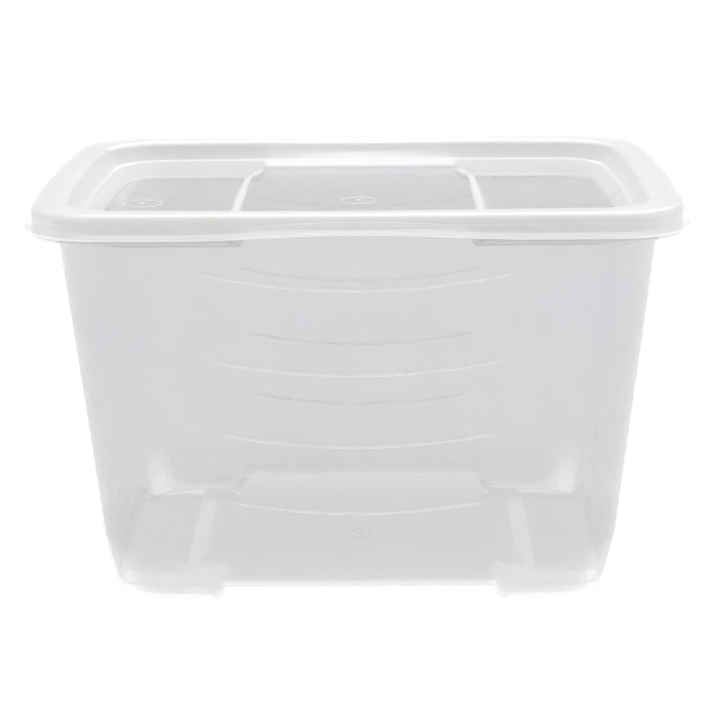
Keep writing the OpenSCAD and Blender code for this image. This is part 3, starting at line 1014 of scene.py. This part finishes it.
def make_floor(half):
    mesh = bpy.data.meshes.new("studio_floor")
    corners = [(-half, -half, 0), (half, -half, 0), (half, half, 0), (-half, half, 0)]
    mesh.from_pydata(corners, [], [(0, 1, 2, 3)])
    mesh.materials.append(floor_material())
    floor = bpy.data.objects.new("studio_floor", mesh)
    bpy.context.scene.collection.objects.link(floor)
    return floor


make_floor(FLOOR_HALF)
print(f"the floor is {2 * FLOOR_HALF:.0f} m across and glows with a strength of {FLOOR_GLOW}")

# %% [markdown]
# ## The room and the lamps
# A bright, even room fills the plastic with light. Four large soft lamps shape it: two in front
# give the walls and corners their highlights, one above lights the border of the lid, and one
# behind shines through the far wall, so that its ribs look less dark.

# %% Room light and lamps
MIDDLE = (0, 0, 0.15)


def room(strength_low, strength_high):
    """A room whose brightness changes from the level of the floor to straight up."""
    world = bpy.data.worlds.new("studio_room")
    bpy.context.scene.world = world
    world.use_nodes = True
    tree = world.node_tree
    sky = add_node(tree, "ShaderNodeSeparateXYZ",
                   Vector=tree.nodes.new("ShaderNodeTexCoord").outputs["Generated"])
    height = Sum(tree, sky.outputs["Z"])
    glow = height.clamped() * (strength_high - strength_low) + strength_low
    feed(tree, glow, tree.nodes["Background"].inputs["Strength"])
    tree.nodes["Background"].inputs["Color"].default_value = (1, 1, 1, 1)
    world.cycles.sampling_method = "NONE"  # the room is so even that it needs no sampling map


def lamp(name, place, aim, size, power, colour):
    """A soft rectangular lamp. Places and sizes are in metres, and power is in watts."""
    data = bpy.data.lights.new(name, "AREA")
    data.shape, data.size, data.size_y = "RECTANGLE", *size
    data.energy, data.color = power, colour
    obj = bpy.data.objects.new(name, data)
    obj.location = place
    obj.rotation_euler = (Vector(aim) - Vector(place)).to_track_quat("-Z", "Y").to_euler()
    bpy.context.scene.collection.objects.link(obj)
    print(f"lamp {name}: {power:.1f} W")


room(0.74, 0.62)
lamp("key_left", (-1.5, -1.3, 1.3), MIDDLE, (1.1, 1.4), 6.5, (0.97, 0.985, 1.0))
lamp("fill_right", (1.7, -0.9, 1.0), MIDDLE, (0.9, 1.2), 5.5, (1.0, 0.985, 0.96))
lamp("top", (0.1, 0.3, 2.0), (0, 0, 0.2), (1.8, 1.4), 21.0, (1.0, 1.0, 1.0))
lamp("back", (0.2, 1.5, 1.6), MIDDLE, (1.6, 0.8), 10.0, (1.0, 1.0, 1.0))

# %% [markdown]
# ## The camera
# The camera stands 1.6 m away, a little above the bin and straight in front of a long side, with a
# long lens. From there the front, the recess of the lid and, through the walls, the floor and the
# far feet can all be seen. Many clear skins lie behind one another, so a ray may cross up to 32 of
# them, and the colours are shown without a film look, which would turn the white grey.

# %% Camera
DISTANCE, AZIMUTH, ELEVATION, ROLL = 1.6283, 0.01026, 0.25733, -0.00815  # metres and radians
LENS, SENSOR = 103.56, 36.0  # mm
MOST_SKINS = 32


def make_camera():
    aim = Vector((0, 0, HEIGHT * MM / 2))
    back = Vector((
        math.sin(AZIMUTH) * math.cos(ELEVATION),
        -math.cos(AZIMUTH) * math.cos(ELEVATION),
        math.sin(ELEVATION),
    ))
    data = bpy.data.cameras.new("camera")
    data.lens, data.sensor_width = LENS, SENSOR
    camera = bpy.data.objects.new("camera", data)
    camera.location = aim + back * DISTANCE
    camera.rotation_mode = "QUATERNION"
    camera.rotation_quaternion = Quaternion(back, ROLL) @ (-back).to_track_quat("-Z", "Y")
    bpy.context.scene.collection.objects.link(camera)
    bpy.context.scene.camera = camera
    print("camera at", [round(v, 3) for v in camera.location])


make_camera()
bpy.context.scene.view_settings.view_transform = "Standard"
bpy.context.scene.cycles.transparent_max_bounces = MOST_SKINS
